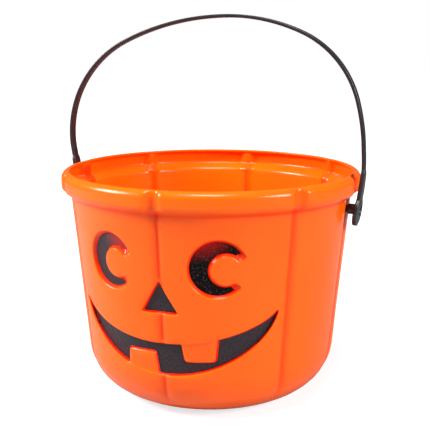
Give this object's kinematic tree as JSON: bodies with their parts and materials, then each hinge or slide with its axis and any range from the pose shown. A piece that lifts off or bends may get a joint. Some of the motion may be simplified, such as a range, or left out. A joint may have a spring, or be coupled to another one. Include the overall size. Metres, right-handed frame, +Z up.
{
  "type": "pumpkin candy pail",
  "caption": "Open round orange plastic pail shaped as a ribbed pumpkin, with a recessed black smiling face, a rolled collar and a black strap bail that swings over the mouth.",
  "frame": {"origin": "centre of the flat base, on the surface the pail stands on", "axes": "+Z up along the pail's axis; -Y is where the face looks; +X is the viewer's right, along the bail's pivot axis"},
  "size_m": [0.2215, 0.2099, 0.262],
  "materials": {
    "orange_shell": "semi-gloss moulded plastic",
    "black_panel": "fine-grained satin black",
    "black_bail": "satin, fine lengthwise lines",
    "black_stud": "satin"
  },
  "bodies": {
    "pail": {"pail_shell": "orange_shell", "left_eye_panel": "black_panel", "right_eye_panel": "black_panel", "nose_panel": "black_panel", "mouth_panel": "black_panel"},
    "bail": {"bail_strap": "black_bail", "left_pivot_stud": "black_stud", "right_pivot_stud": "black_stud"}
  },
  "joints": [
    {"name": "bail_swing", "type": "hinge", "parent": "pail", "child": "bail", "pos_m": [0, 0, 0.133], "axis": [1, 0, 0], "range_deg": [-125, 125]}
  ]
}
